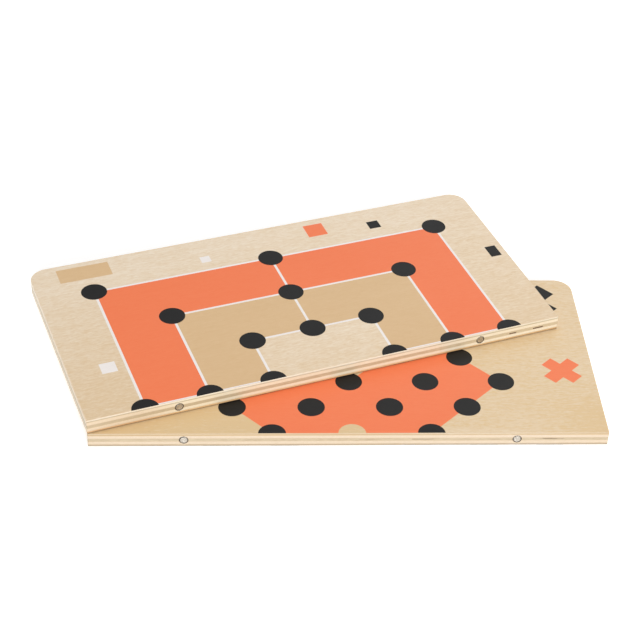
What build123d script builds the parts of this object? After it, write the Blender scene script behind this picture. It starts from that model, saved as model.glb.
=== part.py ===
from build123d import *
import os

# Two magnetic half boards, each printed for mill on one face and peg solitaire on the other.
# Joined along their magnet edges they make either whole game. Here they lie stacked, the
# upper one mill side up and turned a little, the lower one solitaire side up.
#
# Frame: millimetres. +X runs along the lower board's joint edge, +Y from that edge to its
# back, +Z up. The origin is under the middle of the lower board, on the table it lies on.

# Half board, cut from a square sheet
board_width = 300.0  # along the joint edge
board_depth = 149.0  # from the joint edge to the back
back_corner_radius = 11.0
arris = 0.3  # bevel sanded on every outer edge

# The five plies
face_veneer = 1.5
crossband = 2.15
core = 2.2

# Magnets, glued into blind bores in the joint edge
magnet_diameter = 5.0
magnet_length = 6.0
magnet_chamfer = 0.3
magnet_from_end = 54.0  # from the board's end to the magnet's middle
glue_line = 0.2  # round each magnet and behind it

# Print. The colours lie level with the wood, and black is printed last, over them.
colour_film = 0.1
black_film = 0.05

# Playing places, the same size in both games
place_diameter = 16.0

# Mill: nested squares about the middle of the joined board
ring_pitch = 38.6  # from the middle to the first square, and from each square to the next
ring_count = 3
line_width = 1.6

# Peg solitaire: a cross of places, turned by an eighth of a turn
solitaire_pitch = 32.45  # between neighbouring places
arm_reach = 3  # places from the middle to the end of an arm
arm_half_width = 1  # places on each side of an arm's middle row
eighth_turn = 45.0  # degrees

# Loose marks on the shown mill face: width, height, then the middle of the mark, measured
# from the board's centre line and from its joint edge
tan_bar = (33.2, 14.0, -116.6, 137.4)
white_square_at_back = (6.4, 6.4, -40.1, 127.3)
white_square_at_left = (9.4, 9.4, -126.3, 41.7)
orange_square = (13.2, 13.2, 38.6, 136.3)
black_square = (8.0, 8.0, 78.1, 130.3)
black_bar = (7.4, 11.3, 141.7, 77.3)

# Loose marks on the shown solitaire face: bar length, bar width, then the middle as above
orange_cross = (24.0, 9.0, 130.5, 56.4)
black_cross = (35.0, 13.2, 120.0, 126.0)

# How the upper board lies on the lower one
upper_turn = 18.95  # degrees, anticlockwise seen from above
corner_inset_x = 0.1  # its near left corner, in from the lower board's left end
corner_inset_y = 0.1  # and in from the lower board's joint edge

board_thickness = 2 * face_veneer + 2 * crossband + core
place_radius = place_diameter / 2
bore_radius = magnet_diameter / 2 + glue_line
bore_depth = magnet_length + glue_line


# Printing screens. Each is drawn once, face on: x from the centre line, y from the joint
# edge to the back. The same screen is then laid on every face that carries it.

with BuildSketch() as blank:
    Rectangle(board_width, board_depth, align=(Align.CENTER, Align.MIN))
    fillet(blank.vertices().group_by(Axis.Y)[-1], back_corner_radius)

# The flat part of a face, inside its bevelled edges
with BuildSketch() as flat_part:
    offset(blank.sketch, amount=-arris)


def bar_mark(mark):
    """A plain rectangle: width, height, middle x, middle y."""
    width, height, x, y = mark
    with Locations((x, y)):
        Rectangle(width, height)


def cross_mark(mark):
    """Two like bars crossed on the diagonals: bar length, bar width, middle x, middle y."""
    length, width, x, y = mark
    with Locations((x, y)):
        Rectangle(length, width, rotation=eighth_turn)
        Rectangle(length, width, rotation=-eighth_turn)


def places_mark(places):
    """The round playing places."""
    with Locations(*places):
        Circle(place_radius)


def mill_places():
    """Corners and side middles of each square, on this half of the joined board."""
    places = []
    for ring in range(1, ring_count + 1):
        reach = ring * ring_pitch
        places += [(-reach, 0), (-reach, reach), (0, reach), (reach, reach), (reach, 0)]
    return places


def solitaire_places():
    """Places of the turned cross on this half, the bare middle one left out."""
    places = []
    step = Vector(solitaire_pitch, 0).rotate(Axis.Z, eighth_turn)
    for i in range(-arm_reach, arm_reach + 1):
        for j in range(-arm_reach, arm_reach + 1):
            on_cross = min(abs(i), abs(j)) <= arm_half_width
            if on_cross and i + j >= 0 and (i, j) != (0, 0):
                places.append(((i - j) * step.X, (i + j) * step.Y))
    return places


def mill_lines():
    """The squares, the connector on the centre line and the two along the joint edge."""
    # From the outermost inwards, because each square clears the space inside it
    for ring in range(ring_count, 0, -1):
        side = 2 * ring * ring_pitch
        Rectangle(side + line_width, side + line_width)
        Rectangle(side - line_width, side - line_width, mode=Mode.SUBTRACT)
    inner_reach = ring_pitch
    outer_reach = ring_count * ring_pitch
    connector = outer_reach - inner_reach
    with Locations((0, (inner_reach + outer_reach) / 2)):
        Rectangle(line_width, connector)
    with Locations((-outer_reach, 0), (inner_reach, 0)):
        Rectangle(connector, line_width, align=(Align.MIN, Align.MIN))


def square_band(ring):
    """Field between one square and the next one in."""
    Rectangle(2 * ring * ring_pitch, 2 * ring * ring_pitch)
    Rectangle(2 * (ring - 1) * ring_pitch, 2 * (ring - 1) * ring_pitch, mode=Mode.SUBTRACT)


def mill_screens(with_marks):
    """The mill face's screens, colours first and black last. No two colours overlap."""
    with BuildSketch() as white:
        mill_lines()
        if with_marks:
            bar_mark(white_square_at_back)
            bar_mark(white_square_at_left)
        add(flat_part.sketch, mode=Mode.INTERSECT)

    with BuildSketch() as orange:
        square_band(ring_count)
        if with_marks:
            bar_mark(orange_square)
        add(flat_part.sketch, mode=Mode.INTERSECT)
        add(white.sketch, mode=Mode.SUBTRACT)

    with BuildSketch() as tan:
        square_band(ring_count - 1)
        if with_marks:
            bar_mark(tan_bar)
        add(flat_part.sketch, mode=Mode.INTERSECT)
        add(white.sketch, mode=Mode.SUBTRACT)
        add(orange.sketch, mode=Mode.SUBTRACT)

    with BuildSketch() as black:
        places_mark(mill_places())
        if with_marks:
            bar_mark(black_square)
            bar_mark(black_bar)
        add(flat_part.sketch, mode=Mode.INTERSECT)

    return {"white": white.sketch, "orange": orange.sketch, "tan": tan.sketch, "black": black.sketch}


def solitaire_screens(with_marks):
    """The solitaire face's two screens. The middle place is left as bare wood."""
    field_length = 2 * arm_reach * solitaire_pitch
    field_width = 2 * arm_half_width * solitaire_pitch
    with BuildSketch() as orange:
        Rectangle(field_length, field_width, rotation=eighth_turn)
        Rectangle(field_length, field_width, rotation=-eighth_turn)
        Circle(place_radius, mode=Mode.SUBTRACT)
        if with_marks:
            cross_mark(orange_cross)
        add(flat_part.sketch, mode=Mode.INTERSECT)

    with BuildSketch() as black:
        places_mark(solitaire_places())
        if with_marks:
            cross_mark(black_cross)
        add(flat_part.sketch, mode=Mode.INTERSECT)

    return {"orange": orange.sketch, "black": black.sketch}


# Where the boards lie. Each board's plane has its origin at the middle of the joint edge, on
# the underside, with x along that edge and y towards the back. The lower board stands on the
# black print of its underside, and the upper board's black print lies on the lower board's.

lower_plane = Plane(origin=(0, -board_depth / 2, black_film))

upper_corner = Vector(
    -board_width / 2 + corner_inset_x,
    -board_depth / 2 + corner_inset_y,
    board_thickness + 3 * black_film,
)
upper_x = Vector(1, 0, 0).rotate(Axis.Z, upper_turn)
upper_plane = Plane(origin=upper_corner + upper_x * (board_width / 2), x_dir=upper_x, z_dir=(0, 0, 1))


def top_face(board):
    """Plane of the top face, looking up."""
    return board.offset(board_thickness)


def bottom_face(board):
    """Plane of the underside, looking down, with y still towards the back."""
    return Plane(origin=board.origin, x_dir=-board.x_dir, z_dir=-board.z_dir)


def joint_face(board):
    """Plane of the joint edge at mid thickness, looking out, with y up."""
    middle = board.origin + board.z_dir * (board_thickness / 2)
    return Plane(origin=middle, x_dir=board.x_dir, z_dir=-board.y_dir)


def joint_corner_edges(part, board):
    """The two upright edges at the ends of the joint edge."""
    depth_axis = Axis(board.origin, board.y_dir)
    return part.edges().filter_by(Axis.Z).group_by(depth_axis)[0]


def magnet_places():
    """Magnet middles on the joint face."""
    reach = board_width / 2 - magnet_from_end
    return {"left": (-reach, 0), "right": (reach, 0)}


def bore_for_magnets(board):
    """Blind bores from the joint edge, cut in whichever plies they reach."""
    with Locations(joint_face(board)):
        with Locations(*magnet_places().values()):
            Hole(bore_radius, depth=bore_depth)


def save(part, name):
    """Label a finished piece and write it."""
    part.label = name
    export_step(part, f"parts/{name}.step")


def build_inner_ply(name, board, height, thickness):
    """One of the three plies between the face veneers."""
    with BuildPart() as ply:
        with BuildSketch(board.offset(height)):
            add(blank.sketch)
        extrude(amount=thickness)
        chamfer(joint_corner_edges(ply, board), arris)
        bore_for_magnets(board)
    save(ply.part, name)


def build_face_veneer(name, board, face, screens):
    """A face veneer, bevelled round its outer edge, with shallow seats for the colour films."""
    with BuildPart() as ply:
        with BuildSketch(face):
            add(blank.sketch)
        extrude(amount=-face_veneer)
        outer_face = ply.faces().filter_by(face).sort_by(Axis(face.origin, face.z_dir))[-1]
        chamfer(outer_face.edges() + joint_corner_edges(ply, board), arris)
        bore_for_magnets(board)
        with BuildSketch(face):
            for colour, screen in screens.items():
                if colour != "black":
                    add(screen)
        extrude(amount=-colour_film, mode=Mode.SUBTRACT)
    save(ply.part, name)


def build_film(name, face, screen, rise):
    """Every patch of one print: sunk level with the face, or standing up from it."""
    with BuildPart() as film:
        with BuildSketch(face):
            add(screen)
        extrude(amount=rise)
    save(film.part, name)


def build_magnet(name, board, place):
    """A round magnet, level with the joint edge, its showing end chamfered."""
    with BuildPart() as magnet:
        with BuildSketch(joint_face(board)):
            with Locations(place):
                Circle(magnet_diameter / 2)
        extrude(amount=-magnet_length)
        depth_axis = Axis(board.origin, board.y_dir)
        showing_end = magnet.faces().filter_by(joint_face(board)).sort_by(depth_axis)[0]
        chamfer(showing_end.edges(), magnet_chamfer)
    save(magnet.part, name)


def build_glue(name, board):
    """The glue that fills each bore, round its magnet and behind it."""
    with BuildPart() as glue:
        with BuildSketch(joint_face(board)):
            with Locations(*magnet_places().values()):
                Circle(bore_radius)
        extrude(amount=-bore_depth)
        with BuildSketch(joint_face(board)):
            with Locations(*magnet_places().values()):
                Circle(magnet_diameter / 2)
        extrude(amount=-magnet_length, mode=Mode.SUBTRACT)
    save(glue.part, name)


def build_core(board_name, board):
    """The three inner plies of a board, and the magnets glued into their bores."""
    inner_plies = {"bottom_crossband": crossband, "core": core, "top_crossband": crossband}
    height = face_veneer
    for ply_name, thickness in inner_plies.items():
        build_inner_ply(f"{board_name}_{ply_name}", board, height, thickness)
        height += thickness
    for side, place in magnet_places().items():
        build_magnet(f"{board_name}_{side}_magnet", board, place)
    build_glue(f"{board_name}_magnet_glue", board)


def build_face(board_name, board, side, face, game, screens):
    """One printed face of a board: its veneer and every film on it."""
    build_face_veneer(f"{board_name}_{side}_face_veneer", board, face, screens)
    for colour, screen in screens.items():
        rise = black_film if colour == "black" else -colour_film
        build_film(f"{board_name}_{game}_{colour}_print", face, screen, rise)


os.makedirs("parts", exist_ok=True)

# The two faces that look up carry loose marks as well as the game
build_core("upper", upper_plane)
build_face("upper", upper_plane, "top", top_face(upper_plane), "mill", mill_screens(True))
build_face("upper", upper_plane, "bottom", bottom_face(upper_plane), "solitaire", solitaire_screens(False))

build_core("lower", lower_plane)
build_face("lower", lower_plane, "top", top_face(lower_plane), "solitaire", solitaire_screens(True))
build_face("lower", lower_plane, "bottom", bottom_face(lower_plane), "mill", mill_screens(False))
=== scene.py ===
"""Looks for two magnetic half boards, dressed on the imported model.

Each half board is five plies of birch with a game printed on either face and two magnets
glued into its joint edge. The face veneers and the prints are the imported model's own pieces
with new finishes. The inner plies, the magnets and the glue round them are new surfaces.
"""

import logging
import math
from dataclasses import dataclass, replace
from enum import Enum

import bmesh
import bpy
import numpy as np
from mathutils import Euler, Matrix, Vector


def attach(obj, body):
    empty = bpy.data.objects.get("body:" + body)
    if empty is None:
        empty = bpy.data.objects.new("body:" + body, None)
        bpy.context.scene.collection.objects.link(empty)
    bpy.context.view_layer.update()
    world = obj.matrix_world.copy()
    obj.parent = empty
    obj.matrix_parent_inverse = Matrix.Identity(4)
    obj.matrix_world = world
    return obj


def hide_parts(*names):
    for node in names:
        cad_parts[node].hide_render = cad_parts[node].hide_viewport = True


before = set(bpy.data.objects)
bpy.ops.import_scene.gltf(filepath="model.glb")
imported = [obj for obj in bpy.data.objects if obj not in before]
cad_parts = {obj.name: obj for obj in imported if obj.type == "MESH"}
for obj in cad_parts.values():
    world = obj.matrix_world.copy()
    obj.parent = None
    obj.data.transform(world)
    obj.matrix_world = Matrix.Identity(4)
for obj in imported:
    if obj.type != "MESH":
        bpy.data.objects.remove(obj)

LOG = logging.getLogger("half_boards")
MM = 0.001
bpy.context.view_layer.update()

Triple = tuple[float, float, float]
Colour = Triple
Faces = list[list[int]]
Material = bpy.types.Material
Node = bpy.types.Node
Socket = bpy.types.NodeSocket


# Node trees


NUMBER = "NodeSocketFloat"
VECTOR = "NodeSocketVector"


class Graph:
    """A node tree that is built one node at a time."""

    def __init__(self, tree: bpy.types.NodeTree) -> None:
        """Starts on an existing tree."""
        self.tree = tree
        self.count = 0

    def add(self, kind: str, **settings: object) -> Node:
        """Adds a node.

        Args:
            kind: Blender's name for the node type.
            **settings: Properties to set on it.

        Returns:
            The new node.
        """
        node = self.tree.nodes.new(kind)
        node.location = (220 * (self.count % 12), -260 * (self.count // 12))
        self.count += 1
        for key, value in settings.items():
            setattr(node, key, value)
        return node

    def feed(self, socket: Socket, value: object) -> None:
        """Links a socket to another, or sets it to a constant.

        Args:
            socket: The input that is fed.
            value: An output socket, a number, or a tuple of numbers.
        """
        if isinstance(value, Socket):
            self.tree.links.new(value, socket)
        else:
            socket.default_value = value

    def fill(self, node: Node, values: dict[str, object]) -> Node:
        """Feeds several inputs of a node.

        Args:
            node: The node.
            values: Sockets or constants, by input name.

        Returns:
            The same node.
        """
        for name, value in values.items():
            self.feed(node.inputs[name], value)
        return node

    def math(self, operation: str, *values: object, clamp: bool = False) -> Socket:
        """One step of arithmetic.

        Args:
            operation: Blender's name for the operation.
            *values: One to three sockets or numbers.
            clamp: Keeps the result from 0 to 1.

        Returns:
            The result's socket.
        """
        node = self.add("ShaderNodeMath", operation=operation, use_clamp=clamp)
        for socket, value in zip(node.inputs, values):
            self.feed(socket, value)
        return node.outputs[0]

    def noise(
        self,
        vector: Socket,
        lengths: Triple,
        detail: float = 2.0,
        roughness: float = 0.5,
        distortion: float = 0.0,
    ) -> Socket:
        """Soft noise with features of a given size.

        Args:
            vector: The place on the piece, in metres.
            lengths: Feature size along x, y and z, in millimetres.
            detail: Finer layers on top of the first.
            roughness: Weight of the finer layers.
            distortion: How far the pattern is bent.

        Returns:
            A socket with values about 0.5.
        """
        scaled = self.add("ShaderNodeVectorMath", operation="MULTIPLY")
        self.feed(scaled.inputs[0], vector)
        self.feed(scaled.inputs[1], tuple(1.0 / (MM * length) for length in lengths))
        values = {"Scale": 1.0, "Detail": detail, "Roughness": roughness, "Distortion": distortion}
        node = self.fill(self.add("ShaderNodeTexNoise"), {"Vector": scaled.outputs[0], **values})
        return node.outputs[0]

    def between(self, value: Socket, low: float, high: float) -> Socket:
        """Smooth step from 0 at low to 1 at high.

        Args:
            value: The socket that is read.
            low: Where the step starts.
            high: Where it ends.

        Returns:
            The step's socket.
        """
        node = self.add("ShaderNodeMapRange", interpolation_type="SMOOTHSTEP")
        return self.fill(node, {"Value": value, "From Min": low, "From Max": high}).outputs[0]

    def blend(self, factor: object, first: object, second: object, mode: str = "MIX") -> Socket:
        """Mixes two colours.

        Args:
            factor: Share of the second colour.
            first: A colour socket, or three numbers.
            second: A colour socket, or three numbers.
            mode: Blender's name for the way to mix.

        Returns:
            The mixed colour's socket.
        """
        node = self.add("ShaderNodeMix", data_type="RGBA", blend_type=mode, clamp_factor=True)
        self.feed(node.inputs["Factor"], factor)
        for name, value in (("A", first), ("B", second)):
            socket = next(s for s in node.inputs if s.name == name and s.type == "RGBA")
            self.feed(socket, (*value, 1.0) if isinstance(value, tuple) else value)
        return next(s for s in node.outputs if s.type == "RGBA")

    def apart(self, vector: Socket) -> tuple[Socket, ...]:
        """Takes a vector apart.

        Args:
            vector: The socket that is read.

        Returns:
            The sockets of its x, y and z.
        """
        node = self.add("ShaderNodeSeparateXYZ")
        self.feed(node.inputs[0], vector)
        return tuple(node.outputs)

    def grade(self, value: Socket, middle: float, amount: float) -> Socket:
        """(value - 0.5) * amount + middle, for a value that varies about 0.5."""
        return self.math("MULTIPLY_ADD", self.math("SUBTRACT", value, 0.5), amount, middle)


def new_group(
    name: str, inputs: dict[str, str], outputs: tuple[str, ...]
) -> tuple[Graph, Node, Node]:
    """Starts a shader node group.

    Args:
        name: The group's name.
        inputs: Socket names with Blender's socket types.
        outputs: Names of the numbers it puts out.

    Returns:
        A graph to fill it with, and its input and output nodes.
    """
    tree = bpy.data.node_groups.new(name, "ShaderNodeTree")
    for socket_name, kind in inputs.items():
        tree.interface.new_socket(name=socket_name, in_out="INPUT", socket_type=kind)
    for socket_name in outputs:
        tree.interface.new_socket(name=socket_name, in_out="OUTPUT", socket_type=NUMBER)
    graph = Graph(tree)
    return graph, graph.add("NodeGroupInput"), graph.add("NodeGroupOutput")


def birch_grain() -> None:
    """Makes the group for rotary-cut birch, its grain along x of the vector it is given.

    Tone is the sum of four soft noises, each longer along the grain than across it: broad
    patches, growth bands, a wavy mottle and single fibres. Pore is 1 in short dark dashes, and
    Height is the fibres with the pores sunk in.
    """
    inputs = {"Vector": VECTOR, "Contrast": NUMBER}
    graph, given, made = new_group("birch_grain", inputs, ("Tone", "Pore", "Height"))
    place = given.outputs["Vector"]
    patch = graph.noise(place, (150.0, 55.0, 40.0), 2.0, 0.5)
    band = graph.noise(place, (85.0, 6.5, 6.5), 3.0, 0.55, 0.6)
    mottle = graph.noise(place, (3.8, 1.25, 1.25), 2.0, 0.5, 0.8)
    fibre = graph.noise(place, (7.0, 0.6, 0.6), 3.0, 0.6)
    tone = graph.grade(patch, 0.5, 0.5)
    for noise, amount in ((band, 0.55), (mottle, 1.15), (fibre, 1.2)):
        tone = graph.math("ADD", tone, graph.grade(noise, 0.0, amount))
    strength = graph.math("MULTIPLY", graph.math("SUBTRACT", tone, 0.5), given.outputs["Contrast"])
    dash = graph.noise(place, (3.2, 0.42, 0.42), 1.0, 0.5)
    pore = graph.between(dash, 0.66, 0.78)
    sunk = graph.math("MULTIPLY", pore, 0.5)
    height = graph.math("SUBTRACT", graph.math("MULTIPLY", fibre, 0.6), sunk)
    graph.fill(made, {"Tone": graph.math("ADD", strength, 0.5, clamp=True), "Pore": pore, "Height": height})


def outline_distance(graph: Graph, x: Socket, y: Socket) -> Socket:
    """Signed distance from the half board's outline, in metres, less than 0 inside.

    The joined board is a rounded rectangle about the middle of the joint edge. With
    q = |(x, y)| - (half size - radius), the distance to it is
    length(max(q, 0)) + min(max(qx, qy), 0) - radius. The half board is also cut at y = 0.

    Args:
        graph: The graph that takes the nodes.
        x: Place along the joint edge.
        y: Place behind it.

    Returns:
        The distance's socket.
    """
    size = BoardSizes()
    radius = size.corner * MM
    qx = graph.math("SUBTRACT", graph.math("ABSOLUTE", x), size.width / 2 * MM - radius)
    qy = graph.math("SUBTRACT", graph.math("ABSOLUTE", y), size.depth * MM - radius)
    both = graph.add("ShaderNodeCombineXYZ")
    graph.feed(both.inputs[0], graph.math("MAXIMUM", qx, 0.0))
    graph.feed(both.inputs[1], graph.math("MAXIMUM", qy, 0.0))
    outside = graph.add("ShaderNodeVectorMath", operation="LENGTH")
    graph.feed(outside.inputs[0], both.outputs[0])
    within = graph.math("MINIMUM", graph.math("MAXIMUM", qx, qy), 0.0)
    joined = graph.math("SUBTRACT", graph.math("ADD", outside.outputs["Value"], within), radius)
    return graph.math("MAXIMUM", joined, graph.math("MULTIPLY", y, -1.0))


def board_edge() -> None:
    """Makes the group that tells how near a point is to a half board's outline and arrises.

    Crest is 1 on the upper arris and Foot on the lower one. Sawn is 1 on the joint edge. Seam
    is 1 at the lines of glue between the plies, all round. Hollow is 1 deeper than the cut
    edges go, in the gaps.
    """
    outputs = ("Crest", "Foot", "Sawn", "Seam", "Hollow")
    graph, given, made = new_group("board_edge", {"Vector": VECTOR}, outputs)
    size = BoardSizes()
    x, y, z = graph.apart(given.outputs["Vector"])
    distance = outline_distance(graph, x, y)
    rim = graph.between(distance, -0.5 * MM, -0.25 * MM)
    # Height band at the top where the arris highlight is painted.
    crest_highlight = graph.between(z, (size.thickness - 0.85) * MM, (size.thickness - 0.45) * MM)
    # Height band at the underside where shade is painted on the lower arris.
    foot_shade = graph.math("SUBTRACT", 1.0, graph.between(z, 0.4 * MM, 0.7 * MM))
    side = graph.between(distance, -0.35 * MM, -0.2 * MM)
    from_middle = graph.math("ABSOLUTE", graph.math("SUBTRACT", z, size.thickness / 2 * MM))
    lines = []
    for line in (size.core / 2 * MM, (size.core / 2 + size.crossband) * MM):
        away = graph.math("ABSOLUTE", graph.math("SUBTRACT", from_middle, line))
        lines.append(graph.math("SUBTRACT", 1.0, graph.between(away, 0.08 * MM, 0.24 * MM)))
    graph.fill(made, {
        "Crest": graph.math("MULTIPLY", rim, crest_highlight),
        "Foot": graph.math("MULTIPLY", rim, foot_shade),
        "Sawn": graph.between(graph.math("MULTIPLY", y, -1.0), -0.35 * MM, -0.2 * MM),
        "Seam": graph.math("MULTIPLY", side, graph.math("MAXIMUM", *lines)),
        # Deeper than the cut edge, in the gaps and bores, where shade is painted.
        "Hollow": graph.between(graph.math("MULTIPLY", distance, -1.0), 0.16 * MM, 0.5 * MM),
    })


def satin_skin() -> None:
    """Makes the group for a satin film: Gloss varies about 0, and Height is a faint orange peel."""
    graph, given, made = new_group("satin_skin", {"Vector": VECTOR}, ("Gloss", "Height"))
    cloud = graph.noise(given.outputs["Vector"], (28.0, 28.0, 28.0), 3.0, 0.6)
    peel = graph.noise(given.outputs["Vector"], (0.9, 0.9, 0.9), 1.0, 0.5)
    graph.fill(made, {"Gloss": graph.grade(cloud, 0.0, 0.16), "Height": peel})


# Where things lie


@dataclass(frozen=True)
class BoardSizes:
    """Sizes of a half board, in millimetres."""

    width: float = 300.0
    depth: float = 149.0
    corner: float = 11.0
    arris: float = 0.3
    face_veneer: float = 1.5
    crossband: float = 2.15
    core: float = 2.2
    magnet_reach: float = 96.0
    magnet_radius: float = 2.5
    magnet_length: float = 6.0
    bore_radius: float = 2.7
    bore_depth: float = 6.2
    black_film: float = 0.05

    @property
    def thickness(self) -> float:
        """All five plies together."""
        return 2 * self.face_veneer + 2 * self.crossband + self.core


@dataclass(frozen=True)
class Lie:
    """Where a half board lies: the middle of its joint edge on the underside, and its turn."""

    x: float
    y: float
    z: float
    degrees: float = 0.0

    def to_frame(self, points: np.ndarray) -> np.ndarray:
        """Carries board points into the shared frame.

        With a the turn, (x cos a - y sin a + x0, x sin a + y cos a + y0, z + z0) / 1000.

        Args:
            points: Board points in millimetres, any shape that ends in 3.

        Returns:
            The same points in metres.
        """
        turn = math.radians(self.degrees)
        cos, sin = math.cos(turn), math.sin(turn)
        spin = np.array([[cos, sin, 0.0], [-sin, cos, 0.0], [0.0, 0.0, 1.0]])
        return (points @ spin + np.array([self.x, self.y, self.z])) * MM

    def board_vector(self, graph: Graph, grain_degrees: float = 0.0) -> Socket:
        """Object coordinates turned back to the board's own x and y.

        Args:
            graph: The material's graph.
            grain_degrees: A further turn, from the board's x to the grain.

        Returns:
            The vector's socket, in metres.
        """
        source = graph.add("ShaderNodeTexCoord")
        mapping = graph.add("ShaderNodeMapping", vector_type="TEXTURE")
        graph.feed(mapping.inputs["Vector"], source.outputs["Object"])
        mapping.inputs["Location"].default_value = (self.x * MM, self.y * MM, self.z * MM)
        mapping.inputs["Rotation"].default_value = (0.0, 0.0, math.radians(self.degrees + grain_degrees))
        return mapping.outputs[0]


class Grain(Enum):
    """Which way a ply's grain runs, in degrees from the joint edge."""

    ALONG = 0.0
    ACROSS = 90.0


# Finishes


@dataclass(frozen=True)
class Drift:
    """How a ply's tone drifts over its board.

    Attributes:
        front: Added to the tone at the joint edge; on the lower veneer it stands partly for painted shade
            and warm bounce from the upper board.
        rise: How much more is added behind it; the paler back is partly the wood's own tone and partly a
            painted sheen.
        reach: How far from the joint edge the rise goes on, in millimetres.
        right: Added at the joint edge's right end, and taken off at its left end.
        patch: Added at one place along the joint edge, and fading to either side.
        patch_at: That place, in millimetres from the edge's middle.
        patch_full: How far from that place the patch keeps its strength.
        patch_end: How far from that place it ends.
    """

    front: float = 0.0
    rise: float = 0.0
    reach: float = 149.0
    right: float = 0.0
    patch: float = 0.0
    patch_at: float = 0.0
    patch_full: float = 10.0
    patch_end: float = 110.0

    def tone(self, graph: Graph, vector: Socket) -> Socket:
        """What is added to the tone at a point.

        With b a smooth step behind the joint edge and p one at the patch, it is
        front + rise b + (right x / half width + patch p) (1 - b).

        Args:
            graph: The material's graph.
            vector: The place on the board.

        Returns:
            The sum's socket.
        """
        x, y, _ = graph.apart(vector)
        behind = graph.between(y, 0.0, self.reach * MM)
        aside = graph.math("MULTIPLY", x, self.right / (BoardSizes().width / 2 * MM))
        away = graph.math("ABSOLUTE", graph.math("SUBTRACT", x, self.patch_at * MM))
        near = graph.between(away, self.patch_end * MM, self.patch_full * MM)
        aside = graph.math("MULTIPLY_ADD", near, self.patch, aside)
        slope = graph.math("MULTIPLY_ADD", behind, self.rise, self.front)
        return graph.math("MULTIPLY_ADD", aside, graph.math("SUBTRACT", 1.0, behind), slope)


@dataclass(frozen=True)
class EdgeTint:
    """How a ply's colour changes at the edges of its board.

    Attributes:
        cut: Multiplies the colour on the sawn joint edge.
        left: Multiplies it once more near the joint edge's left end, as painted shade.
        left_from: Where that starts, in millimetres from the edge's middle.
        left_to: Where it is full.
        crest_highlight: How much the upper arris is paled by a painted highlight.
        seam: How dark the glue lines are.
        hollow_shade: How much painted shade darkens the gaps and bores deeper than the cut edge.
        gap: Colour of the painted shade in the gaps and bores.
        foot_shade: How much painted shade darkens the lower arris.
        underside_shade: Colour of the painted shade on the lower arris.
    """

    cut: Colour = (1.0, 1.0, 1.0)
    left: Colour = (1.0, 1.0, 1.0)
    left_from: float = -92.0
    left_to: float = -120.0
    crest_highlight: float = 0.0
    seam: float = 0.55
    hollow_shade: float = 0.0
    gap: Colour = (0.16, 0.085, 0.045)
    foot_shade: float = 0.0
    underside_shade: Colour = (0.07, 0.035, 0.018)

    def tint(self, graph: Graph, vector: Socket, colour: Socket, pale: Colour, pore: Colour) -> Socket:
        """Tints a colour where the edges are near.

        Args:
            graph: The material's graph.
            vector: The place on the board.
            colour: The colour away from the edges.
            pale: Colour of the painted highlight on the upper arris.
            pore: Colour of the glue lines.

        Returns:
            The tinted colour's socket.
        """
        edge = place_group(graph, "board_edge", {"Vector": vector}).outputs
        x = graph.apart(vector)[0]
        left_end_shade = graph.between(x, self.left_from * MM, self.left_to * MM)
        colour = graph.blend(edge["Sawn"], colour, self.cut, "MULTIPLY")
        # Painted shade that darkens the joint edge towards its left end.
        colour = graph.blend(graph.math("MULTIPLY", edge["Sawn"], left_end_shade), colour, self.left, "MULTIPLY")
        # Painted highlight on the upper arris, real dark glue lines, painted shade in the gaps and bores,
        # and painted shade on the lower arris.
        for mask, share, mark in (
            ("Crest", self.crest_highlight, pale),
            ("Seam", self.seam, pore),
            ("Hollow", self.hollow_shade, self.gap),
            ("Foot", self.foot_shade, self.underside_shade),
        ):
            colour = graph.blend(graph.math("MULTIPLY", edge[mask], share), colour, mark)
        return colour


@dataclass(frozen=True)
class WoodFinish:
    """Birch under a satin lacquer.

    Attributes:
        name: The material's name.
        pale: Colour of the lightest grain.
        warm: Colour of the darkest grain.
        pore: Colour of the pores.
        grain: Which way the grain runs.
        contrast: Strength of the figure.
        lacquer: Weight of the coat.
        drift: How the tone drifts over the board.
        edges: How the colour changes at the board's edges, painted highlight and shade among it.
        shift: Moves the figure, in millimetres, so that no two plies match.
    """

    name: str
    pale: Colour
    warm: Colour
    pore: Colour
    grain: Grain
    contrast: float
    lacquer: float
    drift: Drift = Drift()
    edges: EdgeTint = EdgeTint()
    shift: Triple = (0.0, 0.0, 0.0)

    def material(self, lie: Lie) -> Material:
        """Builds the finish for one board.

        Args:
            lie: The board's place, which turns the grain with it.

        Returns:
            The material.
        """
        made, graph, shader = new_material(self.name)
        moved = graph.add("ShaderNodeVectorMath", operation="ADD")
        graph.feed(moved.inputs[0], lie.board_vector(graph, self.grain.value))
        moved.inputs[1].default_value = tuple(MM * part for part in self.shift)
        along_grain = moved.outputs[0]
        grain = place_group(graph, "birch_grain", {"Vector": along_grain, "Contrast": self.contrast}).outputs
        skin = place_group(graph, "satin_skin", {"Vector": along_grain}).outputs
        vector = lie.board_vector(graph)
        tone = graph.math("ADD", grain["Tone"], self.drift.tone(graph, vector), clamp=True)
        colour = graph.blend(tone, self.warm, self.pale)
        colour = graph.blend(graph.math("MULTIPLY", grain["Pore"], 0.35), colour, self.pore)
        rough = graph.grade(grain["Tone"], 0.46, -0.12)
        height = graph.math("ADD", grain["Height"], graph.math("MULTIPLY", skin["Height"], 0.25))
        graph.fill(shader, {
            "Base Color": self.edges.tint(graph, vector, colour, self.pale, self.pore),
            "Roughness": graph.math("ADD", rough, skin["Gloss"], clamp=True),
            "Coat Weight": self.lacquer,
            "Coat Roughness": 0.22,
            "Normal": bump(graph, height, 0.03 * MM, 0.35),
        })
        return made


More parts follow.
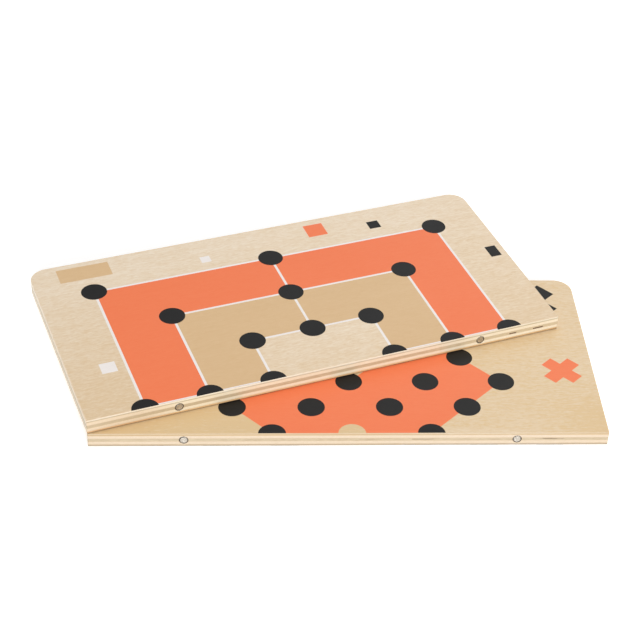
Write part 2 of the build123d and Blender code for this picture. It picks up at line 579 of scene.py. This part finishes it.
@dataclass(frozen=True)
class InkFinish:
    """Screen ink on veneer, with the fibres telegraphing through it.

    Attributes:
        name: The material's name.
        colour: The ink.
        thin: The ink where the fibres thin it.
        roughness: Middle roughness.
        gloss: The shader's specular level.
        worn: How much veneer shows through where the ink runs out on the joint edge.
        worn_from: Where that starts, in millimetres behind the joint edge.
        worn_to: Where it is full.
        veneer: The veneer's colour there.
    """

    name: str
    colour: Colour
    thin: Colour
    roughness: float
    gloss: float
    worn: float = 0.0
    worn_from: float = 1.0
    worn_to: float = 0.35
    veneer: Colour = (0.62, 0.40, 0.28)

    def material(self, lie: Lie) -> Material:
        """Builds the finish for one board.

        Args:
            lie: The board's place, which turns the fibres with it.

        Returns:
            The material.
        """
        made, graph, shader = new_material(self.name)
        vector = lie.board_vector(graph)
        grain = place_group(graph, "birch_grain", {"Vector": vector, "Contrast": 0.9}).outputs
        skin = place_group(graph, "satin_skin", {"Vector": vector}).outputs
        pores = graph.math("MULTIPLY", grain["Pore"], 0.2)
        share = graph.math("ADD", graph.grade(grain["Tone"], 0.4, 0.8), pores, clamp=True)
        colour = graph.blend(share, self.colour, self.thin)
        near = graph.between(graph.apart(vector)[1], self.worn_from * MM, self.worn_to * MM)
        colour = graph.blend(graph.math("MULTIPLY", near, self.worn), colour, self.veneer)
        fibres = graph.math("MULTIPLY", grain["Height"], 0.6)
        height = graph.math("ADD", fibres, graph.math("MULTIPLY", skin["Height"], 0.4))
        graph.fill(shader, {
            "Base Color": colour,
            "Roughness": graph.math("ADD", skin["Gloss"], self.roughness, clamp=True),
            "Specular IOR Level": self.gloss,
            "Normal": bump(graph, height, 0.02 * MM, 0.25),
        })
        return made


@dataclass(frozen=True)
class NickelFinish:
    """Nickel plate, brushed and handled, with glue smeared on the rim.

    Attributes:
        name: The material's name.
        bright: The bare plate.
        dull: The handled plate.
        smear: The glue.
        smear_from: Where the glue starts, as a share of the radius.
        smear_to: Where it covers the plate.
    """

    name: str
    bright: Colour = (0.62, 0.585, 0.52)
    dull: Colour = (0.42, 0.38, 0.33)
    smear: Colour = (0.035, 0.025, 0.016)
    smear_from: float = 0.75
    smear_to: float = 0.90

    def material(self, lie: Lie, reach: float) -> Material:
        """Builds the finish for one magnet.

        Args:
            lie: The board's place.
            reach: The magnet's place along the joint edge, in millimetres.

        Returns:
            The material.
        """
        made, graph, shader = new_material(self.name)
        place = lie.board_vector(graph)
        brushed = graph.noise(place, (1.6, 0.12, 0.12), 3.0, 0.6)
        mark = graph.noise(place, (1.1, 1.1, 1.1), 3.0, 0.6, 0.5)
        size = BoardSizes()
        from_axis = graph.add("ShaderNodeVectorMath", operation="MULTIPLY_ADD")
        graph.feed(from_axis.inputs[0], place)
        from_axis.inputs[1].default_value = (1.0, 0.0, 1.0)
        from_axis.inputs[2].default_value = (-reach * MM, 0.0, -size.thickness / 2 * MM)
        radius = graph.add("ShaderNodeVectorMath", operation="LENGTH")
        graph.feed(radius.inputs[0], from_axis.outputs[0])
        strayed = graph.math("ADD", radius.outputs["Value"], graph.grade(mark, 0.0, 2.2 * MM))
        full = size.magnet_radius * MM
        rim = graph.between(strayed, self.smear_from * full, self.smear_to * full)
        metal = graph.blend(graph.between(mark, 0.40, 0.62), self.dull, self.bright)
        graph.fill(shader, {
            "Base Color": graph.blend(rim, metal, self.smear),
            "Roughness": graph.grade(mark, 0.34, -0.3),
            "Metallic": graph.math("SUBTRACT", 1.0, rim),
            "Normal": bump(graph, brushed, 0.02 * MM, 0.4),
        })
        return made


@dataclass(frozen=True)
class GlueFinish:
    """Amber glue, cloudy between a thick and a thin colour."""

    name: str = "magnet_glue_amber"
    thick: Colour = (0.022, 0.012, 0.006)
    thin: Colour = (0.13, 0.075, 0.035)

    def material(self) -> Material:
        """Builds the finish.

        Returns:
            The material.
        """
        made, graph, shader = new_material(self.name)
        source = graph.add("ShaderNodeTexCoord")
        cloud = graph.noise(source.outputs["Object"], (1.3, 1.3, 1.3), 3.0, 0.6)
        graph.fill(shader, {
            "Base Color": graph.blend(graph.between(cloud, 0.35, 0.65), self.thick, self.thin),
            "Roughness": graph.grade(cloud, 0.3, 0.3),
            "Coat Weight": 0.4,
            "Coat Roughness": 0.12,
            "Normal": bump(graph, cloud, 0.05 * MM, 0.5),
        })
        return made


def new_material(name: str) -> tuple[Material, Graph, Node]:
    """Starts a material.

    Args:
        name: Its name.

    Returns:
        The material, its graph, and its shader.
    """
    made = bpy.data.materials.new(name)
    made.use_nodes = True
    made.node_tree.nodes.clear()
    graph = Graph(made.node_tree)
    shader = graph.add("ShaderNodeBsdfPrincipled")
    graph.feed(graph.add("ShaderNodeOutputMaterial").inputs["Surface"], shader.outputs[0])
    return made, graph, shader


def place_group(graph: Graph, name: str, values: dict[str, object]) -> Node:
    """Places a node group by its name and feeds its inputs."""
    return graph.fill(graph.add("ShaderNodeGroup", node_tree=bpy.data.node_groups[name]), values)


def bump(graph: Graph, height: Socket, distance: float, strength: float) -> Socket:
    """Turns a height into a normal.

    Args:
        graph: The material's graph.
        height: The height's socket.
        distance: How tall a height of 1 is, in metres.
        strength: Share of the effect.

    Returns:
        The normal's socket.
    """
    values = {"Strength": strength, "Distance": distance, "Height": height}
    return graph.fill(graph.add("ShaderNodeBump"), values).outputs[0]


# Surfaces


def ring_stack(rings: np.ndarray) -> tuple[np.ndarray, Faces]:
    """Closed shell from rings stacked upwards, each counter-clockwise from above.

    Point j of ring i is vertex i n + j. Quad (i, j) joins it to j + 1 and to ring i + 1, and
    the first and the last ring are each closed by one flat face.

    Args:
        rings: Array of rings by points by 3.

    Returns:
        The vertices, and the faces as lists of vertex numbers.
    """
    count, around = rings.shape[:2]
    low = np.arange(count - 1)[:, None] * around + np.arange(around)[None, :]
    low_next = np.roll(low, -1, axis=1)
    quads = np.stack([low, low_next, low_next + around, low + around], axis=-1).reshape(-1, 4)
    last = (count - 1) * around
    caps = [np.arange(around)[::-1].tolist(), np.arange(last, last + around).tolist()]
    return rings.reshape(-1, 3), quads.tolist() + caps


def put_mesh(
    name: str, vertices: np.ndarray, faces: Faces, material: Material, crease: float
) -> bpy.types.Object:
    """Makes an object from finished vertices, with its place in its mesh.

    Args:
        name: The piece's name.
        vertices: Points in metres.
        faces: Lists of vertex numbers.
        material: The finish.
        crease: Angle in degrees past which an edge stays sharp.

    Returns:
        The object.
    """
    mesh = bpy.data.meshes.new(name)
    mesh.from_pydata(vertices.tolist(), [], faces)
    work = bmesh.new()
    work.from_mesh(mesh)
    bmesh.ops.remove_doubles(work, verts=work.verts, dist=1e-7)
    bmesh.ops.dissolve_degenerate(work, edges=work.edges, dist=1e-8)
    bmesh.ops.recalc_face_normals(work, faces=work.faces)
    work.to_mesh(mesh)
    work.free()
    mesh.shade_smooth()
    mesh.set_sharp_from_angle(angle=math.radians(crease))
    mesh.materials.append(material)
    made = bpy.data.objects.new(name, mesh)
    bpy.context.scene.collection.objects.link(made)
    return made


@dataclass(frozen=True)
class Void:
    """A gap that the saw opened in a ply's cut edge, in millimetres.

    Attributes:
        start: Where it starts along the joint edge.
        end: Where it ends.
        height: Its middle, up from the underside.
        half: Half its height.
        depth: How deep it goes.
        ramp: How long it takes to reach that depth at either end.
    """

    start: float
    end: float
    height: float
    half: float
    depth: float
    ramp: float = 0.8

    def recess(self, x: np.ndarray, z: np.ndarray) -> np.ndarray:
        """Depth of the gap at points of the joint edge.

        A smooth window along x times exp(-((z - height) / half)^4), times depth.

        Args:
            x: Places along the joint edge.
            z: Heights.

        Returns:
            The depth at each point.
        """
        rise = np.clip((x - self.start) / self.ramp, 0.0, 1.0)
        fall = np.clip((self.end - x) / self.ramp, 0.0, 1.0)
        window = rise * rise * (3 - 2 * rise) * fall * fall * (3 - 2 * fall)
        return self.depth * window * np.exp(-(((z - self.height) / self.half) ** 4))


@dataclass(frozen=True)
class Outline:
    """The half board's outline as stations, counter-clockwise from the joint edge's left end.

    Attributes:
        sizes: The board's sizes.
        voids: Gaps that need closer stations.
        joint_count: Even stations along the joint edge.
        side_count: Stations along each end.
        back_count: Stations along the back.
        arc_count: Stations round a back corner, with its ends.
        void_step: Distance between stations at a gap, in millimetres.
        void_margin: How far past a gap they go on.
        bore_margin: How far clear of a bore the others stay.
    """

    sizes: BoardSizes
    voids: tuple[Void, ...] = ()
    joint_count: int = 241
    side_count: int = 69
    back_count: int = 140
    arc_count: int = 17
    void_step: float = 0.25
    void_margin: float = 0.4
    bore_margin: float = 0.1

    def joint_stations(self) -> np.ndarray:
        """Stations along the joint edge, closer at each gap and left out at the bores.

        Returns:
            Their x, rising.
        """
        size = self.sizes
        end = size.width / 2 - size.arris
        x = np.linspace(-end, end, self.joint_count)
        for void in self.voids:
            closer = np.arange(void.start - self.void_margin, void.end + self.void_margin, self.void_step)
            x = np.concatenate([x, closer])
        x = np.unique(np.round(x, 4))
        return x[np.abs(np.abs(x) - size.magnet_reach) > size.bore_radius + self.bore_margin]

    def stations(self) -> tuple[np.ndarray, np.ndarray, np.ndarray]:
        """All stations.

        Each bore adds four stations at its middle, in the order left mouth, left end, right
        end and right mouth. A ply spreads them by the bore's half width at each height.

        Returns:
            Points (n, 2), outward normals (n, 2), and the bore's share (n, 2), which is
            -1, 0 or 1 for its half width and 0 or 1 for its depth.
        """
        size = self.sizes
        x = self.joint_stations()
        mouths = np.array([-size.magnet_reach, size.magnet_reach])
        at = np.searchsorted(x, mouths)
        joint = np.insert(x, np.repeat(at, 4), np.repeat(mouths, 4))
        slots = (at[:, None] + np.array([[0], [4]]) + np.arange(4)).reshape(-1)
        half, depth, corner = size.width / 2, size.depth, size.corner
        side = np.linspace(size.arris, depth - corner, self.side_count)
        back = np.linspace(half - corner, corner - half, self.back_count)
        angle = np.linspace(0.0, math.pi / 2, self.arc_count)[1:-1]
        right = np.column_stack([np.cos(angle), np.sin(angle)])
        left = np.column_stack([-np.sin(angle), np.cos(angle)])
        stretches = (
            (np.column_stack([joint, np.zeros_like(joint)]), [0.0, -1.0]),
            (np.column_stack([np.full_like(side, half), side]), [1.0, 0.0]),
            (right * corner + [half - corner, depth - corner], right),
            (np.column_stack([back, np.full_like(back, depth)]), [0.0, 1.0]),
            (left * corner + [corner - half, depth - corner], left),
            (np.column_stack([np.full_like(side, -half), side[::-1]]), [-1.0, 0.0]),
        )
        points = np.concatenate([places for places, _ in stretches])
        normals = np.concatenate([np.broadcast_to(normal, places.shape) for places, normal in stretches])
        share = np.zeros_like(points)
        share[slots] = np.tile([[-1.0, 0.0], [-1.0, 1.0], [1.0, 1.0], [1.0, 0.0]], (2, 1))
        return points, normals, share


@dataclass(frozen=True)
class InnerPly:
    """One ply between the face veneers.

    Attributes:
        bottom: Height of its underside in the board.
        thickness: Its thickness.
        voids: Gaps in its cut edge.
        groove: How deep the sanding leaves the glue lines.
        ripple: A quarter of how deep the sanding ripple goes.
    """

    bottom: float
    thickness: float
    voids: tuple[Void, ...] = ()
    groove: float = 0.07
    ripple: float = 0.008

    def rings(self, sizes: BoardSizes) -> np.ndarray:
        """The ply's edge as rings stacked upwards.

        At height z the edge lies inwards of the outline by groove |2t - 1|^8, with t the
        share of the thickness, plus a sanding ripple of two sines along the edge, and the
        gaps. The bore's half width there is sqrt(r^2 - (z - middle)^2).

        Args:
            sizes: The board's sizes.

        Returns:
            Array of rings by stations by 3, in millimetres.
        """
        points, normals, share = Outline(sizes, self.voids).stations()
        t = np.linspace(0.0, 1.0, 41) if self.voids else (1 - np.cos(np.linspace(0.0, math.pi, 15))) / 2
        z = (self.bottom + self.thickness * t)[:, None]
        along = np.concatenate([[0.0], np.cumsum(np.hypot(*np.diff(points, axis=0).T))])[None, :]
        ripple = self.ripple * (2 + np.sin(along / 3.7 + 2.1 * z) + np.sin(along / 9.1 + 1.3))
        inward = self.groove * np.abs(2 * t[:, None] - 1) ** 8 + ripple
        on_joint = (normals[:, 1] < -0.5)[None, :]
        for void in self.voids:
            inward = inward + on_joint * void.recess(points[:, 0][None, :], z)
        middle = sizes.thickness / 2
        half = np.sqrt(np.clip(sizes.bore_radius**2 - (z - middle) ** 2, 0.0, None))
        bore = np.any(share != 0.0, axis=1)[None, :]
        inward = np.where(bore, 0.0, inward)
        x = points[:, 0] - normals[:, 0] * inward + share[:, 0] * half
        depth = np.where(half > 1e-6, sizes.bore_depth, 0.0)
        y = points[:, 1] - normals[:, 1] * inward + share[:, 1] * depth
        return np.stack([x, y, np.broadcast_to(z, x.shape)], axis=-1)


@dataclass(frozen=True)
class Turned:
    """A shell turned about a line into the board from its joint edge.

    Attributes:
        profile: Radius and depth of each ring, from the showing face's middle to the back's.
        segments: Points in a ring.
    """

    profile: tuple[tuple[float, float], ...]
    segments: int = 64

    def rings(self, x: float, z: float) -> np.ndarray:
        """The rings about the line at x and z.

        With angle a and radius r, (x + r cos a, depth, z + r sin a).

        Args:
            x: The line's place along the joint edge.
            z: Its height.

        Returns:
            Array of rings by segments by 3, in millimetres.
        """
        radius, depth = np.array(self.profile).T[:, :, None]
        angle = np.linspace(0.0, 2 * math.pi, self.segments, endpoint=False)[None, :]
        across = x + radius * np.cos(angle)
        up = z + radius * np.sin(angle)
        return np.stack([across, np.broadcast_to(depth, across.shape), up], axis=-1)


def magnet_shape(size: BoardSizes) -> Turned:
    """A magnet with a dished face, a rounded rim and a chamfered back.

    Args:
        size: The board's sizes.

    Returns:
        The magnet.
    """
    r, back, chamfer = size.magnet_radius, size.magnet_length, 0.3
    dish = ((0.0, 0.12), (0.6, 0.115), (1.2, 0.10), (1.7, 0.075), (2.0, 0.06))
    rim = ((2.15, 0.065), (2.28, 0.09), (2.38, 0.14), (2.45, 0.21), (r, 0.32))
    return Turned(dish + rim + ((r, back - chamfer), (r - chamfer, back), (0.0, back)))


def glue_shape(size: BoardSizes) -> Turned:
    """The glue round and behind a magnet, with a sunken lip at the bore's mouth.

    Args:
        size: The board's sizes.

    Returns:
        The glue, which starts behind the magnet and ends at the bore's bottom.
    """
    r, back = size.magnet_radius, size.magnet_length
    bore, bottom = size.bore_radius, size.bore_depth
    inside = ((0.0, back + 0.02), (r + 0.005, back + 0.02), (r + 0.005, 0.45))
    lip = ((r + 0.03, 0.22), (r + 0.09, 0.12), (r + 0.16, 0.10), (bore - 0.005, 0.16))
    outside = ((bore - 0.005, bottom - 0.05), (bore - 0.1, bottom - 0.01), (0.0, bottom - 0.01))
    return Turned(inside + lip + outside)


# The object


class Game(Enum):
    """A printed game, by the word that its prints' names carry."""

    MILL = "mill"
    SOLITAIRE = "solitaire"


class Paint(Enum):
    """An ink, by the word that its prints' names carry."""

    WHITE = "white"
    ORANGE = "orange"
    TAN = "tan"
    BLACK = "black"


INKS: dict[Paint, InkFinish] = {
    Paint.WHITE: InkFinish("ink_white", (0.85, 0.81, 0.79), (0.82, 0.75, 0.70), 0.45, 0.35, worn=0.6),
    Paint.ORANGE: InkFinish("ink_orange", (0.86, 0.185, 0.066), (0.88, 0.215, 0.085), 0.45, 0.35),
    Paint.TAN: InkFinish("ink_tan", (0.65, 0.43, 0.225), (0.70, 0.49, 0.275), 0.45, 0.35),
    Paint.BLACK: InkFinish("ink_black", (0.0035, 0.0033, 0.0033), (0.007, 0.0066, 0.0066), 0.5, 0.28),
}

# Each board was sawn and sanded apart, so each joint edge has its own stain in its cut colour. SHADED is
# painted shade on the upper joint edge near its left end.
SHADED: Colour = (0.88, 0.81, 0.78)
# The veneers' drift paints a sheen that pales the back and, on the lower board, shade and warm bounce along
# the joint edge, over the wood's own tone.
UPPER_VENEER = WoodFinish(
    "upper_veneer", (0.83, 0.71, 0.56), (0.70, 0.515, 0.31), (0.50, 0.34, 0.19), Grain.ALONG, 1.0, 0.2,
    Drift(front=-0.37, rise=0.53, patch=0.28),
)
LOWER_VENEER = WoodFinish(
    "lower_veneer", (0.81, 0.705, 0.565), (0.69, 0.49, 0.255), (0.50, 0.34, 0.19), Grain.ALONG, 0.7, 0.2,
    Drift(front=-0.66, rise=0.40, reach=60.0, right=-0.12, patch=0.40, patch_at=85.0),
)
CROSSBAND = WoodFinish(
    "crossband", (0.78, 0.68, 0.52), (0.71, 0.60, 0.43), (0.40, 0.28, 0.17), Grain.ACROSS, 1.0, 0.15,
)
CORE = WoodFinish(
    "core", (0.58, 0.48, 0.33), (0.46, 0.36, 0.23), (0.34, 0.23, 0.14), Grain.ALONG, 1.2, 0.15,
)
# Both boards get a painted highlight on the upper arris and painted shade on the lower arris; the upper
# board's joint edge also gets painted shade at its left end.
UPPER_EDGE = EdgeTint(left=SHADED, crest_highlight=0.40, foot_shade=1.0)
LOWER_EDGE = EdgeTint(crest_highlight=0.2, foot_shade=0.25)
UPPER_DRIFT = Drift(front=-0.1, rise=0.1, right=0.4)
WOODS: dict[str, WoodFinish] = {
    "upper_top_face_veneer": replace(UPPER_VENEER, edges=replace(UPPER_EDGE, cut=(0.46, 0.53, 0.58))),
    "upper_crossband": replace(
        CROSSBAND, drift=UPPER_DRIFT, edges=EdgeTint(cut=(0.69, 0.69, 0.68), left=SHADED, hollow_shade=0.9),
    ),
    "upper_core": replace(CORE, drift=UPPER_DRIFT, edges=EdgeTint(cut=(0.67, 0.65, 0.61), hollow_shade=0.9)),
    "upper_bottom_face_veneer": replace(UPPER_VENEER, edges=replace(UPPER_EDGE, cut=(0.56, 0.46, 0.33))),
    "lower_top_face_veneer": replace(LOWER_VENEER, edges=replace(LOWER_EDGE, cut=(0.44, 0.43, 0.41))),
    "lower_crossband": replace(CROSSBAND, edges=EdgeTint(cut=(0.585, 0.55, 0.54), hollow_shade=0.9)),
    "lower_core": replace(CORE, edges=EdgeTint(cut=(0.64, 0.63, 0.61), hollow_shade=0.9)),
    # The lower bottom veneer's cut colour is its own edge colour, darkened and greyed further as painted
    # shade near the floor.
    "lower_bottom_face_veneer": replace(LOWER_VENEER, edges=replace(LOWER_EDGE, cut=(0.39, 0.44, 0.57))),
}

# Plies take their figure from places along this line that are a step or more apart.
FIGURE_LINE: Triple = (1.0, 1.7, 0.6)
FIGURE_STEP = 37.0

LOWER_VOIDS = (
    Void(3.5, 15.5, 4.8, 0.25, 0.32),
    Void(34.0, 47.5, 4.8, 0.30, 0.42),
    Void(106.0, 124.0, 5.0, 0.22, 0.36),
    Void(111.0, 120.0, 5.0, 0.25, 0.30),
)
UPPER_VOIDS = (Void(115.8, 121.3, 4.2, 0.42, 1.2), Void(132.4, 140.0, 4.25, 0.46, 1.2))


@dataclass(frozen=True)
class HalfBoard:
    """One half board.

    Attributes:
        name: Upper or lower, as its nodes' names start.
        lie: Where it lies.
        seed: Moves the figure of all its plies.
        core_voids: Gaps in the core's cut edge.
        sizes: Its sizes.
    """

    name: str
    lie: Lie
    seed: float
    core_voids: tuple[Void, ...]
    sizes: BoardSizes = BoardSizes()

    @property
    def body(self) -> str:
        """The body that it moves with."""
        return f"{self.name}_board"

    def wood(self, word: str) -> Material:
        """The wood of one ply, with a figure of its own.

        Args:
            word: top_face_veneer, bottom_face_veneer, top_crossband, bottom_crossband or core.

        Returns:
            The material.
        """
        kind = "crossband" if word.endswith("crossband") else word
        seed = self.seed + FIGURE_STEP * len(word)
        shift = tuple(part * seed for part in FIGURE_LINE)
        finish = replace(WOODS[f"{self.name}_{kind}"], name=f"{self.name}_{word}_birch", shift=shift)
        return finish.material(self.lie)

    def dress_veneers(self) -> None:
        """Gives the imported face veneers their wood."""
        for word in ("top_face_veneer", "bottom_face_veneer"):
            dress(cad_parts[f"{self.name}_{word}"], self.wood(word))

    def dress_prints(self) -> None:
        """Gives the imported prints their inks."""
        for game in Game:
            for paint, ink in INKS.items():
                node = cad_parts.get(f"{self.name}_{game.value}_{paint.value}_print")
                if node is not None:
                    dress(node, ink.material(self.lie))

    def build_plies(self) -> None:
        """Builds the three inner plies with their sanded edges."""
        size = self.sizes
        core_bottom = size.face_veneer + size.crossband
        plies = {
            "bottom_crossband": InnerPly(size.face_veneer, size.crossband),
            "core": InnerPly(core_bottom, size.core, self.core_voids),
            "top_crossband": InnerPly(core_bottom + size.core, size.crossband),
        }
        for word, ply in plies.items():
            vertices, faces = ring_stack(self.lie.to_frame(ply.rings(size)))
            made = put_mesh(f"{self.name}_{word}_ply", vertices, faces, self.wood(word), crease=40.0)
            settle(made, self.body, f"{self.name}_{word}")

    def build_magnets(self) -> None:
        """Builds the two magnets."""
        size = self.sizes
        shape = magnet_shape(size)
        for side, reach in (("left", -size.magnet_reach), ("right", size.magnet_reach)):
            node = f"{self.name}_{side}_magnet"
            nickel = NickelFinish(f"{node}_nickel").material(self.lie, reach)
            vertices, faces = ring_stack(self.lie.to_frame(shape.rings(reach, size.thickness / 2)))
            settle(put_mesh(f"{node}_disc", vertices, faces, nickel, crease=35.0), self.body, node)

    def build_glue(self) -> None:
        """Builds the glue round both magnets as one piece."""
        size = self.sizes
        shape = glue_shape(size)
        beads = [
            ring_stack(self.lie.to_frame(shape.rings(reach, size.thickness / 2)))
            for reach in (-size.magnet_reach, size.magnet_reach)
        ]
        count = len(beads[0][0])
        vertices = np.concatenate([bead[0] for bead in beads])
        faces = beads[0][1] + [[number + count for number in face] for face in beads[1][1]]
        node = f"{self.name}_magnet_glue"
        made = put_mesh(f"{node}_beads", vertices, faces, GlueFinish().material(), crease=50.0)
        settle(made, self.body, node)

    def build(self) -> None:
        """Dresses and builds the whole half board."""
        self.dress_veneers()
        self.dress_prints()
        self.build_plies()
        self.build_magnets()
        self.build_glue()


def dress(node: bpy.types.Object, material: Material) -> None:
    """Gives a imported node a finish.

    Args:
        node: The node's object.
        material: The finish.
    """
    node.data.materials.clear()
    node.data.materials.append(material)
    LOG.info("%s: %d faces, dressed in %s", node.name, len(node.data.polygons), material.name)


def settle(piece: bpy.types.Object, body: str, node: str) -> None:
    """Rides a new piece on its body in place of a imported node.

    Args:
        piece: The new piece.
        body: The body that it moves with.
        node: The node that it stands for.
    """
    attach(piece, body)
    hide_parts(node)
    LOG.info("%s: %d faces, stands for %s", piece.name, len(piece.data.polygons), node)


# The studio


@dataclass(frozen=True)
class Softbox:
    """A square area light that looks at the boards."""

    name: str
    place: Triple
    size: float
    watts: float
    aim: Triple = (0.0, 0.03, 0.0)

    def build(self) -> None:
        """Hangs the light."""
        light = bpy.data.lights.new(self.name, "AREA")
        light.shape = "SQUARE"
        light.size = self.size
        light.energy = self.watts
        made = bpy.data.objects.new(self.name, light)
        made.location = self.place
        look = Vector(self.aim) - Vector(self.place)
        made.rotation_euler = look.to_track_quat("-Z", "Y").to_euler()
        bpy.context.scene.collection.objects.link(made)


@dataclass(frozen=True)
class Studio:
    """Pale floor, soft light and the camera.

    Lengths are in metres, but for the camera's sensor and lens, which are in millimetres. Its
    shift is the crop sideways, as a share of the picture's width.
    """

    floor_half: float = 9.0
    floor_grey: float = 0.92
    floor_glow: float = 0.42
    sky: float = 0.42
    sensor: float = 36.0
    lens: float = 87.228
    shift: float = -0.117188
    camera_place: Triple = (-0.058217, -0.733889, 0.606194)
    camera_degrees: Triple = (52.1679, -3.4299, -4.0670)
    boxes: tuple[Softbox, ...] = (
        Softbox("overhead_softbox", (0.7, 0.9, 1.9), 2.0, 12.5),
        Softbox("front_softbox", (0.9, -4.6, 1.6), 2.0, 322.0),
        Softbox("back_softbox", (0.6, 2.3, 1.5), 1.6, 5.0),
    )

    def build_floor(self) -> None:
        """Lays the floor, a plain pale sheet."""
        made, graph, shader = new_material("studio_floor")
        graph.fill(shader, {
            "Base Color": (self.floor_grey, self.floor_grey, self.floor_grey, 1.0),
            "Roughness": 0.9,
            "Emission Color": (1.0, 1.0, 1.0, 1.0),
            "Emission Strength": self.floor_glow,
        })
        half = self.floor_half
        corners = np.array([[-half, -half, 0.0], [half, -half, 0.0], [half, half, 0.0], [-half, half, 0.0]])
        floor = put_mesh("studio_floor", corners, [[0, 1, 2, 3]], made, crease=30.0)

    def build_sky(self) -> None:
        """Sets the even light from all round."""
        world = bpy.data.worlds.new("studio_sky")
        world.use_nodes = True
        back = world.node_tree.nodes["Background"]
        back.inputs["Color"].default_value = (1.0, 1.0, 1.0, 1.0)
        back.inputs["Strength"].default_value = self.sky
        bpy.context.scene.world = world

    def build_camera(self) -> None:
        """Places the camera at the viewing angle."""
        data = bpy.data.cameras.new("studio_camera")
        data.sensor_width = self.sensor
        data.lens = self.lens
        data.shift_x = self.shift
        data.clip_end = 60.0
        made = bpy.data.objects.new("studio_camera", data)
        turn = Euler([math.radians(part) for part in self.camera_degrees], "XYZ")
        made.matrix_world = Matrix.Translation(self.camera_place) @ turn.to_matrix().to_4x4()
        bpy.context.scene.collection.objects.link(made)
        bpy.context.scene.camera = made

    def build(self) -> None:
        """Builds the whole studio."""
        self.build_camera()
        self.build_floor()
        self.build_sky()
        for box in self.boxes:
            box.build()
        bpy.context.scene.view_settings.view_transform = "Standard"


def lower_lie(sizes: BoardSizes) -> Lie:
    """Where the lower board lies: about the frame's middle, on its own black film."""
    return Lie(0.0, -sizes.depth / 2, sizes.black_film)


def upper_lie(sizes: BoardSizes) -> Lie:
    """Where the upper board lies on the lower one.

    Its near left corner is a little in from the lower board's, it is turned about that
    corner, and three black films lie under it.

    Args:
        sizes: The boards' sizes.

    Returns:
        The upper board's lie.
    """
    degrees, inset = 18.95, 0.1
    turn = math.radians(degrees)
    x = -sizes.width / 2 + inset + sizes.width / 2 * math.cos(turn)
    y = -sizes.depth / 2 + inset + sizes.width / 2 * math.sin(turn)
    return Lie(x, y, sizes.thickness + 3 * sizes.black_film, degrees)


def main() -> None:
    """Builds the studio and the two half boards, and reports each piece."""
    logging.basicConfig(level=logging.INFO, format="%(name)s: %(message)s")
    birch_grain()
    board_edge()
    satin_skin()
    Studio().build()
    sizes = BoardSizes()
    HalfBoard("lower", lower_lie(sizes), 0.0, LOWER_VOIDS).build()
    HalfBoard("upper", upper_lie(sizes), 263.0, UPPER_VOIDS).build()


if __name__ == "__main__":
    main()
